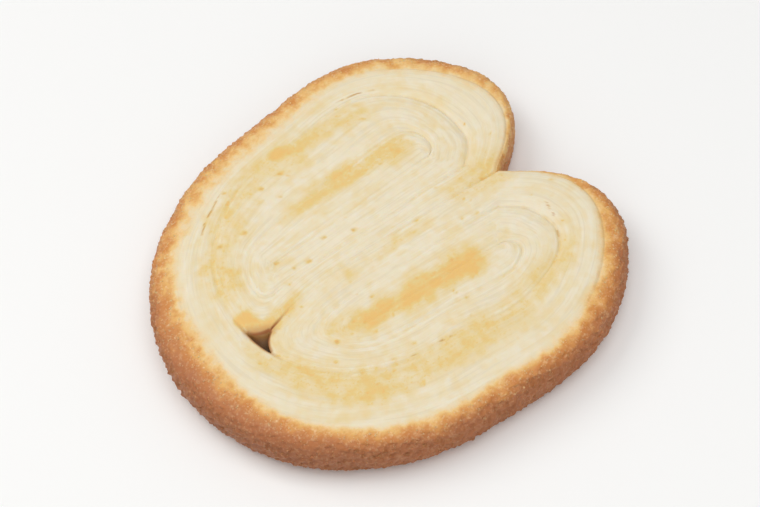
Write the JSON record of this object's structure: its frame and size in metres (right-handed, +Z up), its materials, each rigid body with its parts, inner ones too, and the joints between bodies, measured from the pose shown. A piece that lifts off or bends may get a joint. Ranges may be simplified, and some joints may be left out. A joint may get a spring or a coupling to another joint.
{
  "type": "palmier pastry",
  "caption": "Flat two-lobed slice of rolled flaky dough, closed at one end with a small gap where the laps meet, cleft at the other, with a browned sugared crust.",
  "frame": {"origin": "middle of the box at the flat underside", "axes": "+Z up out of the pale baked face, -X towards the closed end, +X towards the cleft between the two ears, Y across both lobes"},
  "size_m": [0.091, 0.088, 0.0105],
  "materials": {
    "dough": "dry baked flaky dough, pale cream on its face with golden patches and a browned, sugared crust",
    "sugar": "coarse sugar grains, cloudy, some of them caramelised"
  },
  "bodies": {
    "root": {"palmier": "dough"}
  },
  "joints": []
}
